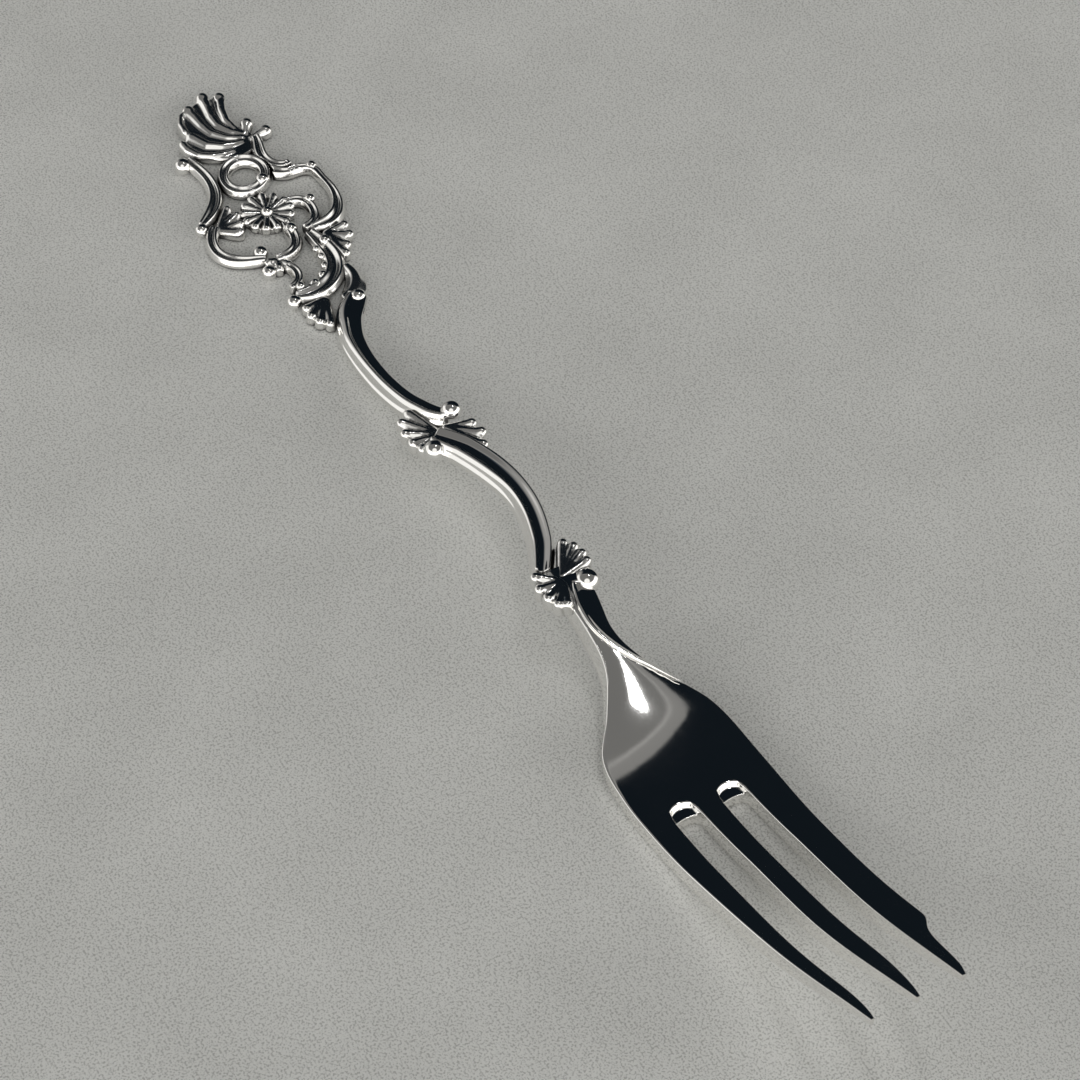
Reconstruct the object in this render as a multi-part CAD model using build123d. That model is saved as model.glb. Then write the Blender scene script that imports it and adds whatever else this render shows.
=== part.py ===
from build123d import *
from math import cos, hypot, pi, radians, sin
import os

# Pastry fork with an openwork rococo handle. Millimetres, +X from the crest of the handle
# to the tine tips, +Y to the side of the cutting tine, +Z up from the table.

# Lengths along the fork, from the foot of the handle ornament to the tine tips
UPPER_STEM_LENGTH = 24.5
LOWER_STEM_LENGTH = 26.0
SHOULDER_LENGTH = 27.0
TINE_LENGTH = 35.0

# Heights above the table
ORNAMENT_HEIGHT = 1.35
UPPER_STEM_TOP = 3.0
WAIST_TOP = 5.0
LOWER_STEM_TOP = 6.6
NECK_TOP = 7.35
TIP_TOP = 12.4
SHOULDER_SOLE = 0.6
TINE_SOLE = 0.5
LIFTED_SOLE = 3.65

# Depths of the metal
UPPER_STEM_DEPTH = 2.6
LOWER_STEM_DEPTH = 2.5
NECK_DEPTH = 2.4
HEAD_THICKNESS = 2.1
TIP_THICKNESS = 0.9
COLLAR_DEPTH = 2.3
COLLAR_SHELL_DEPTH = 1.5
COLLAR_PROUD = 0.2
COLLAR_SINK = 0.35
NECK_FALL = 0.35
SHOULDER_FALL = 2.3
SHOULDER_RISE = 0.7
TINE_RISE = 0.55
TINE_LIFT = 3.6
MOULDING_DEPTH = 1.2
MOULDING_PROUD = 0.25

# Head widths across the tine roots
PLAIN_TINE_WIDTH = 2.65
MIDDLE_TINE_WIDTH = 2.2
CUTTING_TINE_WIDTH = 3.5
SLOT_WIDTH = 3.0
HEAD_OFFSET = 0.78
TIP_SPACING = 4.7
TIP_WIDTH = 0.4
TIP_LEAN = 0.1
EDGE_SWELL = 0.35
SLOT_TAPER = 0.35
SLOT_ROUND = 0.42
NOTCH_SLOPE = -0.22
NOTCH_LENGTH = 9.5
NOTCH_DEPTH = 1.35

# Scroll mouldings
BELLY_SPREAD = 0.12
BELLY_HEIGHT = 0.45
FOOT_SHARE = 0.55
RAIL_SHARE = 0.72
HOLLOW_SHARE = 0.22
GROOVE_DEPTH = 0.5
GROOVE_SHARE = 0.3
COVE_FALL = 0.75
BED_SHARE = 0.85
STEM_STEP = 0.35

# Shells, rosette and beads
SHELL_PLATE = 0.55
RIB_DROP = 0.35
PETAL_COUNT = 13
PETAL_WIDTH = 0.95
PETAL_ROOT_WIDTH = 0.28
ROSETTE_REACH = 3.2
ROSETTE_BOSS = 0.65
RING_BORE = 2.05
RING_REACH = 3.4
BEAD_PROUD = 0.2
BEAD_DEPTH = 1.8
BEAD_SIDES = 10
DOME_SHOULDER = radians(35)
CROWN_SHARE = 0.3
CROWN_SLOPE = 0.75
CROWN_LIMIT = 0.55
CREST_ROOT_WIDTH = 0.6
LOBE_OVERHANG = 0.42
LOBE_NARROWING = 0.6
LOBE_FALL = 0.2

# Stations along the fork, measured from the foot of the ornament
BASE = 0.0
WAIST = BASE + UPPER_STEM_LENGTH
NECK = WAIST + LOWER_STEM_LENGTH
TINE_ROOT = NECK + SHOULDER_LENGTH
TIP = TINE_ROOT + TINE_LENGTH

pieces = {}


def boxes_meet(a, b):
    """Whether two bounding boxes touch."""
    apart_x = a.min.X > b.max.X or b.min.X > a.max.X
    apart_y = a.min.Y > b.max.Y or b.min.Y > a.max.Y
    apart_z = a.min.Z > b.max.Z or b.min.Z > a.max.Z
    return not (apart_x or apart_y or apart_z)


def seat(name, *shapes):
    """Fit a piece against those already in place, so that they meet face to face."""
    fitted = []
    for shape in shapes:
        reach = shape.bounding_box(optimal=False)
        for placed in pieces.values():
            for solid, box in placed:
                if boxes_meet(reach, box):
                    shape = shape - solid
        whole = max(shape.solids(), key=lambda solid: solid.volume)
        fitted.append((whole, whole.bounding_box(optimal=False)))
    pieces[name] = fitted


def channel_section(width, top, depth):
    """Moulding section: a narrow foot, a round belly, and a hollow between two rails."""
    half = width / 2
    foot = top - depth
    belly = half + BELLY_SPREAD * depth
    hollow = top - min(GROOVE_DEPTH, GROOVE_SHARE * width)
    right = [
        (FOOT_SHARE * belly, foot),
        (belly, foot + BELLY_HEIGHT * depth),
        (RAIL_SHARE * half, top),
        (HOLLOW_SHARE * half, hollow),
    ]
    left = [(-u, v) for u, v in reversed(right)]
    return make_face(Polyline(*right, *left, close=True))


def cove_section(width, top, depth):
    """Moulding section with a rail on the left and a hollow that runs out on the right."""
    half = width / 2
    foot = top - depth
    corners = [
        (-RAIL_SHARE * half, foot),
        (RAIL_SHARE * half, foot),
        (half, top - COVE_FALL * depth),
        (0.0, top - 0.5 * COVE_FALL * depth),
        (-RAIL_SHARE * half, top),
        (-half, top - MOULDING_PROUD),
    ]
    return make_face(Polyline(*corners, close=True))


def cove_bed(width, top, depth):
    """Room above the hollow of a cove, cleared out to the side of the head."""
    half = width / 2
    floor = top - depth
    clear = top + MOULDING_PROUD
    corners = [
        (-RAIL_SHARE * half, floor),
        (half + NECK_DEPTH, floor),
        (half + NECK_DEPTH, clear),
        (-RAIL_SHARE * half, clear),
    ]
    return make_face(Polyline(*corners, close=True))


def crown_corners(width, top, depth):
    """Corners of a leaf or rib section: flat foot, upright sides and a crowned top."""
    half = width / 2
    foot = top - depth
    side = top - min(CROWN_SLOPE * half, CROWN_LIMIT * depth)
    right = [(half, foot), (half, side), (CROWN_SHARE * half, top)]
    left = [(-u, v) for u, v in reversed(right)]
    return right + left


def crown_section(width, top, depth):
    """Leaf section."""
    return make_face(Polyline(*crown_corners(width, top, depth), close=True))


def scroll(route, section=channel_section):
    """Loft a moulding along a route of (x, y, width, top, depth) stations."""
    line = Spline([(x, y) for x, y, width, top, depth in route])
    runs = [hypot(b[0] - a[0], b[1] - a[1]) for a, b in zip(route, route[1:])]
    travelled = 0.0
    faces = []
    for (x, y, width, top, depth), run in zip(route, runs + [0.0]):
        heading = line % (travelled / sum(runs))
        faces.append(upright_plane(x, y, heading) * section(width, top, depth))
        travelled += run
    return loft(faces)


def upright_plane(x, y, heading):
    """Plane of a section that stands across a heading."""
    across = (-heading.Y, heading.X, 0)
    return Plane(origin=(x, y, 0), x_dir=across, z_dir=(heading.X, heading.Y, 0))


def flat_scroll(points, section=channel_section):
    """A scroll of the openwork, which stands on the table at its full height."""
    return scroll([(x, y, width, ORNAMENT_HEIGHT, ORNAMENT_HEIGHT) for x, y, width in points], section)


def bead(x, y, radius, top, foot):
    """A round-headed drop: a dome on a short upright stalk, with few sides because it repeats."""
    centre = top - radius
    shoulder = (radius * cos(DOME_SHOULDER), centre + radius * sin(DOME_SHOULDER))
    crown = (radius * cos(2 * DOME_SHOULDER), top)
    corners = []
    for reach, height in ((radius, foot), (radius, centre), shoulder, crown):
        for side in range(BEAD_SIDES):
            turn = 2 * pi * side / BEAD_SIDES
            corners.append((x + reach * cos(turn), y + reach * sin(turn), height))
    return ConvexPolyhedron(corners)


def flat_bead(x, y, radius):
    """A bead of the openwork, standing a little above the scrolls."""
    return bead(x, y, radius, ORNAMENT_HEIGHT + BEAD_PROUD, 0.0)


def rib_corners(x, y, heading, width, crest, foot):
    """Corners of a rib section, where it stands."""
    plane = upright_plane(x, y, heading)
    return [plane.from_local_coords((u, v, 0)) for u, v in crown_corners(width, crest, crest - foot)]


def rib(points, root_width, lobe_width, top, foot):
    """Lengths of a shell rib, which widens and rises from its root to a rounded lobe."""
    steps = len(points) - 1
    sections = []
    for step, (x, y) in enumerate(points):
        before = points[max(step - 1, 0)]
        after = points[min(step + 1, steps)]
        heading = Vector(after[0] - before[0], after[1] - before[1]).normalized()
        share = step / steps
        width = root_width + (lobe_width - root_width) * share
        sections.append(rib_corners(x, y, heading, width, top - RIB_DROP * (1 - share), foot))
    end = Vector(*points[-1]) + heading * LOBE_OVERHANG * lobe_width
    fall = top - LOBE_FALL * lobe_width
    sections.append(rib_corners(end.X, end.Y, heading, LOBE_NARROWING * lobe_width, fall, foot))
    return [ConvexPolyhedron(a + b) for a, b in zip(sections, sections[1:])]


def fan(root, tips, root_width, lobe_width, top, foot):
    """A scallop shell: ribs that spread from a root, joined by a lower plate."""
    outline = make_face(Polyline(root, *tips, close=True))
    plate = extrude(Pos(0, 0, foot) * outline, SHELL_PLATE * (top - foot))
    lengths = []
    for tip in tips:
        lengths += rib([root, tip], root_width, lobe_width, top, foot)
    return plate + lengths


def shifted(points, station):
    """Plan points of a collar, moved to its station along the fork."""
    return [(station + x, y) for x, y in points]


def ring(x, y):
    """A turned ring with a hollow face."""
    width = RING_REACH - RING_BORE
    section = Pos(RING_BORE + width / 2, 0) * channel_section(width, ORNAMENT_HEIGHT, ORNAMENT_HEIGHT)
    return Pos(x, y, 0) * revolve(Plane.XZ * section, Axis.Z)


def rosette(x, y):
    """Round-ended petals about a centre, on a disc that ends inside their lobes."""
    reach = ROSETTE_REACH - 0.5 * PETAL_WIDTH
    back = SHELL_PLATE * ORNAMENT_HEIGHT
    flower = Pos(x, y, 0) * Cylinder(reach, back, align=(Align.CENTER, Align.CENTER, Align.MIN))
    petals = []
    for step in range(PETAL_COUNT):
        turn = 2 * pi * step / PETAL_COUNT
        ends = [(x + r * cos(turn), y + r * sin(turn)) for r in (0.5 * ROSETTE_BOSS, reach)]
        petals += rib(ends, PETAL_ROOT_WIDTH, PETAL_WIDTH, ORNAMENT_HEIGHT, 0.5 * back)
    return flower + petals


# Head: a forged blank, its outline cut from the side profile, with two slots between the tines
head_width = PLAIN_TINE_WIDTH + MIDDLE_TINE_WIDTH + CUTTING_TINE_WIDTH + 2 * SLOT_WIDTH
plain_edge = HEAD_OFFSET - head_width / 2
cutting_edge = HEAD_OFFSET + head_width / 2
plain_inner = plain_edge + PLAIN_TINE_WIDTH
middle_lower = plain_inner + SLOT_WIDTH
middle_upper = middle_lower + MIDDLE_TINE_WIDTH
cutting_inner = middle_upper + SLOT_WIDTH
tip_middle = HEAD_OFFSET - TIP_LEAN
tip_plain = tip_middle - TIP_SPACING
tip_cutting = tip_middle + TIP_SPACING


def shoulder_x(share):
    return NECK + share * SHOULDER_LENGTH


def tine_x(share):
    return TINE_ROOT + share * TINE_LENGTH


plain_side = Spline(
    (shoulder_x(-0.02), -1.5),
    (shoulder_x(0.26), -1.3),
    (shoulder_x(0.42), -1.8),
    (shoulder_x(0.58), -3.9),
    (shoulder_x(0.72), plain_edge + 0.25),
    (shoulder_x(0.9), plain_edge - 0.3),
    (tine_x(0.1), plain_edge),
    (tine_x(0.5), tip_plain - 1.05),
    (TIP, tip_plain - TIP_WIDTH / 2),
)
cutting_side = Spline(
    (shoulder_x(-0.02), 1.3),
    (shoulder_x(0.12), 2.2),
    (shoulder_x(0.26), 1.75),
    (shoulder_x(0.42), 2.8),
    (shoulder_x(0.56), 4.75),
    (shoulder_x(0.68), cutting_edge - 1.3),
    (shoulder_x(0.82), cutting_edge - 0.45),
    (tine_x(0.1), cutting_edge),
    (TIP - NOTCH_LENGTH - 6, cutting_edge + EDGE_SWELL),
    (TIP - NOTCH_LENGTH, cutting_edge + EDGE_SWELL),
)
notch_end = (TIP - 0.7 * NOTCH_LENGTH, cutting_edge + EDGE_SWELL - NOTCH_DEPTH)
notch = Spline(
    cutting_side @ 1,
    (TIP - 0.85 * NOTCH_LENGTH, cutting_edge + 0.2 - NOTCH_DEPTH / 2),
    notch_end,
    tangents=[(1, 0), (1, NOTCH_SLOPE)],
)
cutting_point = Spline(
    notch_end,
    (TIP - 1.6, tip_cutting + 0.85),
    (TIP, tip_cutting + TIP_WIDTH / 2),
    tangents=[(1, NOTCH_SLOPE), (1, -1.2)],
)
head_outline = make_face(
    [
        plain_side,
        Line(plain_side @ 1, cutting_point @ 1),
        cutting_point,
        notch,
        cutting_side,
        Line(cutting_side @ 0, plain_side @ 0),
    ]
)


def slot(lower, lower_tip, upper, upper_tip):
    """Open space between two tines, with a round root and a lower tine that comes to a point."""
    root = tine_x(0.03)
    root_upper = upper - SLOT_TAPER
    round_end = (root - SLOT_ROUND * (upper - lower), (lower + root_upper) / 2)
    spread = 0.5 * (upper_tip - lower_tip - upper + lower)
    lower_side = Spline(
        (root, lower),
        (tine_x(0.4), lower + 0.35 * spread + 0.28),
        (tine_x(0.78), lower + 0.6),
        (tine_x(0.9), lower_tip + 0.75),
        (TIP, lower_tip + TIP_WIDTH / 2),
    )
    upper_side = Spline(
        (root, root_upper),
        (tine_x(0.3), upper + 0.45),
        (tine_x(0.6), upper + 0.75),
        (TIP, upper_tip - TIP_WIDTH / 2),
    )
    closing = [
        Line(lower_side @ 1, upper_side @ 1),
        ThreePointArc(lower_side @ 0, round_end, upper_side @ 0),
    ]
    return make_face([lower_side, upper_side] + closing)


plain_slot = slot(plain_inner, tip_plain, middle_lower, tip_middle)
cutting_slot = slot(middle_upper, tip_middle, cutting_inner, tip_cutting)

head_top = Spline(
    (shoulder_x(-0.04), NECK_TOP),
    (shoulder_x(0.15), NECK_TOP - NECK_FALL),
    (shoulder_x(0.42), NECK_TOP - SHOULDER_FALL),
    (shoulder_x(0.74), HEAD_THICKNESS + SHOULDER_RISE),
    (TINE_ROOT, HEAD_THICKNESS),
    (tine_x(0.25), HEAD_THICKNESS + TINE_RISE),
    (tine_x(0.6), HEAD_THICKNESS + TINE_LIFT),
    (TIP, TIP_TOP),
)
head_sole = Spline(
    (shoulder_x(-0.04), NECK_TOP - NECK_DEPTH),
    (shoulder_x(0.15), NECK_TOP - NECK_FALL - NECK_DEPTH),
    (shoulder_x(0.42), NECK_TOP - SHOULDER_FALL - NECK_DEPTH),
    (shoulder_x(0.74), SHOULDER_SOLE),
    (TINE_ROOT, 0.0),
    (tine_x(0.25), TINE_SOLE),
    (tine_x(0.6), LIFTED_SOLE),
    (TIP, TIP_TOP - TIP_THICKNESS),
)
head_profile = make_face(
    [
        head_top,
        Line(head_top @ 1, head_sole @ 1),
        head_sole,
        Line(head_sole @ 0, head_top @ 0),
    ]
)
head_plan = head_outline - plain_slot - cutting_slot
fork_head = extrude(head_plan, TIP_TOP + 1) & extrude(Plane.XZ * head_profile, head_width, both=True)


def head_height(share):
    """Height of the head's upper face along the shoulder."""
    upright = Axis((shoulder_x(share), 0, 0), (0, 1, 0))
    return head_top.intersect(upright).vertices()[0].Y


def arch(start, middle, end, share):
    """A value that passes through three named ones, at the start, middle and end of a run."""
    opening = start * (1 - 2 * share) * (1 - share)
    closing = end * share * (2 * share - 1)
    return opening + 4 * middle * share * (1 - share) + closing


# Beads that close the scrolls, cast with their own stalks
seat("right_scroll_bead", flat_bead(-22.25, 8.35, 0.6))
seat("ring_bead", flat_bead(-22.85, 2.45, 0.65))
seat("left_shoulder_upper_bead", flat_bead(-29.25, -4.55, 0.75))
seat("left_shoulder_lower_bead", flat_bead(-18.45, -7.2, 0.72))
seat("left_lower_bead", flat_bead(-11.85, -3.05, 0.75))
seat("inner_right_bead", flat_bead(-17.25, 5.7, 0.6))
seat("strap_bead", flat_bead(-13.85, 1.65, 0.7))
seat("link_bead", flat_bead(-4.65, -1.65, 0.5))
seat("link_drop_bead", flat_bead(-8.55, -3.6, 0.75))
seat("base_scroll_start_bead", flat_bead(-10.25, 4.05, 0.65))
seat("base_scroll_end_bead", flat_bead(-2.95, -3.25, 0.8))
pearls = [(-9.35, 2.6, 0.4), (-8.0, 2.55, 0.4), (-6.5, 2.2, 0.42), (-5.3, 1.4, 0.58), (-4.45, 0.05, 0.7)]
seat("base_scroll_pearls", *[bead(x, y, radius, ORNAMENT_HEIGHT, 0.0) for x, y, radius in pearls])
roll_top = ORNAMENT_HEIGHT + STEM_STEP + BEAD_PROUD
waist_bead_top = WAIST_TOP + BEAD_PROUD
neck_bead_top = NECK_TOP + BEAD_PROUD
seat("upper_stem_roll", bead(BASE - 0.1, 3.15, 0.85, roll_top, roll_top - 0.5 * BEAD_DEPTH))
seat("upper_stem_bead", bead(WAIST - 1.3, 2.4, 0.95, waist_bead_top, waist_bead_top - BEAD_DEPTH))
seat("lower_stem_bead", bead(WAIST + 3.0, -1.8, 0.95, waist_bead_top, waist_bead_top - BEAD_DEPTH))
seat("shoulder_scroll_bead", bead(NECK + 1.9, 2.1, 1.25, neck_bead_top, neck_bead_top - BEAD_DEPTH))

# Stem: two S-scrolls, one rising from the ornament and one running into the head
UPPER_STEM_ROUTE = [
    (-0.017, 3.2, 2.3),
    (0.045, 1.8, 2.8),
    (0.1, 0.85, 2.7),
    (0.165, 0.15, 2.5),
    (0.25, -0.55, 2.4),
    (0.37, -0.97, 2.2),
    (0.5, -1.1, 2.1),
    (0.625, -1.0, 2.1),
    (0.75, -0.6, 2.1),
    (0.84, 0.05, 2.1),
    (0.9, 0.65, 2.0),
    (0.945, 1.4, 1.7),
    (0.975, 2.25, 1.2),
]
upper_stem = []
for share, y, width in UPPER_STEM_ROUTE:
    top = arch(ORNAMENT_HEIGHT + STEM_STEP, UPPER_STEM_TOP, WAIST_TOP, share)
    depth = arch(ORNAMENT_HEIGHT, UPPER_STEM_DEPTH, COLLAR_DEPTH, share)
    upper_stem.append((BASE + share * UPPER_STEM_LENGTH, y, width, top, depth))
seat("upper_stem_scroll", scroll(upper_stem))

LOWER_STEM_ROUTE = [
    (0.055, -1.15, 2.2),
    (0.12, -0.2, 2.6),
    (0.19, 0.65, 2.8),
    (0.35, 1.75, 2.8),
    (0.5, 2.2, 2.5),
    (0.65, 1.85, 2.4),
    (0.81, 0.65, 2.3),
    (0.885, -0.3, 2.1),
    (0.965, -1.5, 1.8),
]
lower_stem = []
for share, y, width in LOWER_STEM_ROUTE:
    top = arch(WAIST_TOP, LOWER_STEM_TOP, NECK_TOP, share)
    depth = arch(COLLAR_DEPTH, LOWER_STEM_DEPTH, NECK_DEPTH, share)
    lower_stem.append((WAIST + share * LOWER_STEM_LENGTH, y, width, top, depth))
seat("lower_stem_scroll", scroll(lower_stem))

# Waist shells, which clasp the two stem scrolls where they cross
collar_top = WAIST_TOP - COLLAR_SINK
collar_foot = collar_top - COLLAR_SHELL_DEPTH
waist_left_tips = [(-3.7, -1.4), (-2.8, -2.6), (-1.2, -3.0), (0.4, -2.9), (1.6, -2.4)]
waist_left_root = (WAIST + 0.6, 0.3)
waist_left = fan(waist_left_root, shifted(waist_left_tips, WAIST), 0.7, 1.25, collar_top, collar_foot)
seat("waist_shell_left", waist_left)
waist_right_tips = [(1.3, 3.2), (2.9, 3.5), (4.6, 2.9)]
waist_right_root = (WAIST + 0.3, 0.6)
waist_right = fan(waist_right_root, shifted(waist_right_tips, WAIST), 0.8, 1.4, collar_top, collar_foot)
seat("waist_shell_right", waist_right)

# Neck shells, let into the root of the head
neck_foot = NECK_TOP - COLLAR_SHELL_DEPTH
neck_shell_top = NECK_TOP + COLLAR_PROUD
neck_right_tips = [(-2.9, 2.0), (-2.0, 2.7), (-0.9, 3.0), (0.2, 2.9)]
neck_right = fan((NECK + 0.9, -0.3), shifted(neck_right_tips, NECK), 0.7, 1.15, neck_shell_top, neck_foot)
seat("neck_shell_right", neck_right)
neck_left_tips = [(-0.3, -2.4), (1.3, -2.75), (2.7, -2.6), (3.8, -2.1), (4.1, -1.3)]
neck_left = fan((NECK + 1.4, -0.2), shifted(neck_left_tips, NECK), 0.7, 1.25, neck_shell_top, neck_foot)
seat("neck_shell_left", neck_left)

# Shoulder scroll: a tapering hollow moulding on the cutting side of the neck
SHOULDER_ROUTE = [
    (0.085, 1.2, 2.0),
    (0.12, 1.0, 2.4),
    (0.185, 0.65, 2.6),
    (0.26, 0.55, 2.3),
    (0.33, 0.95, 1.9),
    (0.41, 1.95, 1.4),
    (0.48, 3.1, 1.0),
    (0.55, 4.3, 0.5),
]
shoulder_route = []
shoulder_bed = []
for share, y, width in SHOULDER_ROUTE:
    top = head_height(share) + MOULDING_PROUD
    depth = min(MOULDING_DEPTH, width)
    shoulder_route.append((shoulder_x(share), y, width, top, depth))
    shoulder_bed.append((shoulder_x(share), y, width, top, BED_SHARE * depth))
seat("shoulder_scroll", scroll(shoulder_route, cove_section))
seat("fork_head", fork_head - scroll(shoulder_bed, cove_bed))

# Base of the ornament: a broad C-scroll with a leaf and two shells about it
base_points = [
    (-12.25, 3.15, 1.1),
    (-10.45, 3.5, 1.7),
    (-8.45, 3.7, 2.0),
    (-6.4, 3.4, 2.1),
    (-4.8, 2.45, 2.15),
    (-3.65, 0.9, 2.2),
    (-3.25, -0.95, 2.0),
    (-3.5, -2.65, 1.2),
]
seat("base_scroll", flat_scroll(base_points))
leaf_points = [
    (-5.3, 4.2, 1.1),
    (-4.1, 4.4, 1.7),
    (-2.9, 4.2, 2.2),
    (-1.8, 3.6, 2.5),
    (-1.0, 2.7, 2.3),
    (-0.75, 1.6, 1.4),
]
seat("base_leaf_right", flat_scroll(leaf_points, crown_section))

# Right side of the ornament
right_points = [
    (-23.65, 3.65, 1.3),
    (-22.95, 4.95, 1.2),
    (-22.65, 6.35, 1.0),
    (-22.45, 7.55, 0.85),
    (-21.65, 8.35, 0.75),
    (-20.15, 8.55, 0.7),
    (-18.15, 8.7, 0.8),
    (-16.15, 8.5, 1.05),
    (-14.45, 7.8, 1.4),
    (-13.2, 6.55, 1.7),
    (-12.8, 5.15, 1.5),
    (-12.65, 3.75, 1.2),
]
seat("ring_scroll", ring(-24.5, 0.95))
seat("right_scroll", flat_scroll(right_points))
inner_points = [
    (-17.95, 3.05, 0.8),
    (-17.85, 4.35, 0.9),
    (-16.95, 5.15, 1.0),
    (-15.55, 5.25, 1.05),
    (-14.25, 4.85, 1.0),
    (-13.45, 3.95, 0.95),
    (-13.15, 3.05, 0.8),
]
seat("inner_right_scroll", flat_scroll(inner_points))
strap_points = [
    (-14.95, 1.55, 1.1),
    (-13.05, 1.5, 1.15),
    (-11.45, 1.1, 1.15),
    (-10.45, 0.25, 1.1),
    (-10.05, -0.85, 1.0),
    (-10.05, -1.85, 0.9),
]
seat("rosette_strap", flat_scroll(strap_points))

# Left side of the ornament
shoulder_points = [
    (-29.85, -3.65, 0.9),
    (-28.25, -3.3, 1.2),
    (-26.65, -3.0, 1.25),
    (-24.65, -3.0, 1.3),
    (-22.85, -3.45, 1.4),
    (-21.15, -4.45, 1.5),
    (-19.95, -5.65, 1.3),
    (-19.05, -6.85, 0.9),
]
seat("left_shoulder_scroll", flat_scroll(shoulder_points))
lower_points = [
    (-17.95, -5.75, 0.9),
    (-17.05, -6.55, 1.1),
    (-15.75, -7.1, 1.2),
    (-14.25, -7.25, 1.25),
    (-12.85, -6.75, 1.3),
    (-11.75, -5.65, 1.2),
    (-11.15, -4.45, 1.0),
    (-10.6, -3.1, 0.8),
]
seat("left_lower_scroll", flat_scroll(lower_points))
link_points = [
    (-8.55, -1.35, 0.8),
    (-7.35, -0.95, 0.95),
    (-6.15, -1.1, 0.95),
    (-5.35, -1.75, 0.85),
    (-5.05, -2.65, 0.6),
]
seat("link_scroll", flat_scroll(link_points))

# Rosette: petals round a boss, on a thin back
seat("rosette_centre", flat_bead(-17.6, 0.5, ROSETTE_BOSS))
seat("rosette", rosette(-17.6, 0.5))

# Shells and leaves of the ornament
side_tips = [(-11.45, 6.95), (-9.85, 6.75), (-8.45, 5.75), (-7.25, 5.1)]
seat("side_shell_right", fan((-11.45, 4.55), side_tips, 0.7, 1.25, ORNAMENT_HEIGHT, 0.0))
base_tips = [(-1.2, -2.5), (0.1, -2.6), (1.25, -2.15), (2.1, -1.3)]
seat("base_shell_left", fan((-1.9, 0.0), base_tips, 1.0, 1.2, ORNAMENT_HEIGHT, 0.0))
link_tips = [(-8.55, -1.15), (-8.65, -2.35), (-9.95, -2.85)]
seat("link_leaf", fan((-10.05, -1.85), link_tips, 0.8, 1.2, ORNAMENT_HEIGHT, 0.0))
spray_tips = [(-20.05, -3.35), (-18.65, -2.85), (-17.25, -3.05), (-16.05, -3.65)]
seat("leaf_spray", fan((-17.55, -5.65), spray_tips, 0.7, 1.25, ORNAMENT_HEIGHT, 0.0))

# Crest: a flame-curved shell with a lip scroll running down to the ring
lip_points = [
    (-29.85, 4.85, 0.9),
    (-28.15, 4.55, 1.2),
    (-26.45, 4.2, 1.3),
    (-24.95, 4.55, 1.1),
    (-24.05, 5.45, 0.9),
    (-24.05, 6.45, 0.6),
]
seat("crest_lip_scroll", flat_scroll(lip_points))
crest_ribs = [
    ([(-31.2, 3.85), (-32.4, 3.4), (-33.8, 3.1), (-35.65, 3.35), (-37.3, 3.9)], 0.65),
    ([(-30.8, 4.0), (-31.9, 2.9), (-33.5, 1.9), (-35.05, 1.8), (-36.7, 2.05), (-38.33, 2.16)], 0.8),
    ([(-30.4, 3.8), (-31.2, 2.1), (-32.75, 0.65), (-34.2, 0.25), (-35.8, 0.05), (-36.9, -0.2)], 0.75),
    ([(-29.95, 3.4), (-29.95, 2.2), (-30.25, 0.8), (-31.1, -0.6), (-33.1, -1.65)], 0.7),
    ([(-28.95, 1.9), (-28.95, 0.55), (-29.3, -0.95), (-30.05, -2.2), (-31.4, -2.95), (-32.4, -3.05)], 0.5),
    ([(-37.2, -0.3), (-36.6, -1.4), (-35.4, -1.95), (-34.0, -2.0)], 0.35),
    ([(-30.8, 4.05), (-32.1, 4.8)], 0.55),
    ([(-29.85, 4.25), (-30.2, 5.5), (-30.2, 6.2)], 0.65),
]
crest_rim = Spline(
    (-38.1, 2.2),
    (-37.3, -0.3),
    (-36.1, -1.5),
    (-34.6, -1.95),
    (-33.2, -2.3),
    (-31.9, -3.0),
    (-30.2, -2.4),
    (-28.9, -1.0),
    (-28.1, 0.6),
    (-27.8, 2.2),
    (-28.3, 3.75),
    (-29.85, 4.95),
    (-31.65, 4.45),
    (-34.15, 3.35),
    (-36.9, 3.8),
    periodic=True,
)
crest_plate = extrude(make_face(crest_rim), SHELL_PLATE * ORNAMENT_HEIGHT)
crest_lengths = []
for points, lobe in crest_ribs:
    crest_lengths += rib(points, CREST_ROOT_WIDTH, 2 * lobe, ORNAMENT_HEIGHT, 0.0)
seat("crest_shell", crest_plate + crest_lengths)

# The origin is the middle of the fork's footprint, on the table
solids = {name: [solid for solid, box in placed] for name, placed in pieces.items()}
extent = Compound([solid for placed in solids.values() for solid in placed]).bounding_box()
middle = extent.center()
home = Pos(-middle.X, -middle.Y, -extent.min.Z)
os.makedirs("parts", exist_ok=True)
for name, placed in solids.items():
    export_step(home * Compound(placed), os.path.join("parts", name + ".step"))
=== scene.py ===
from math import radians, sqrt

import bmesh
import bpy
from mathutils import Matrix, Vector


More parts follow.
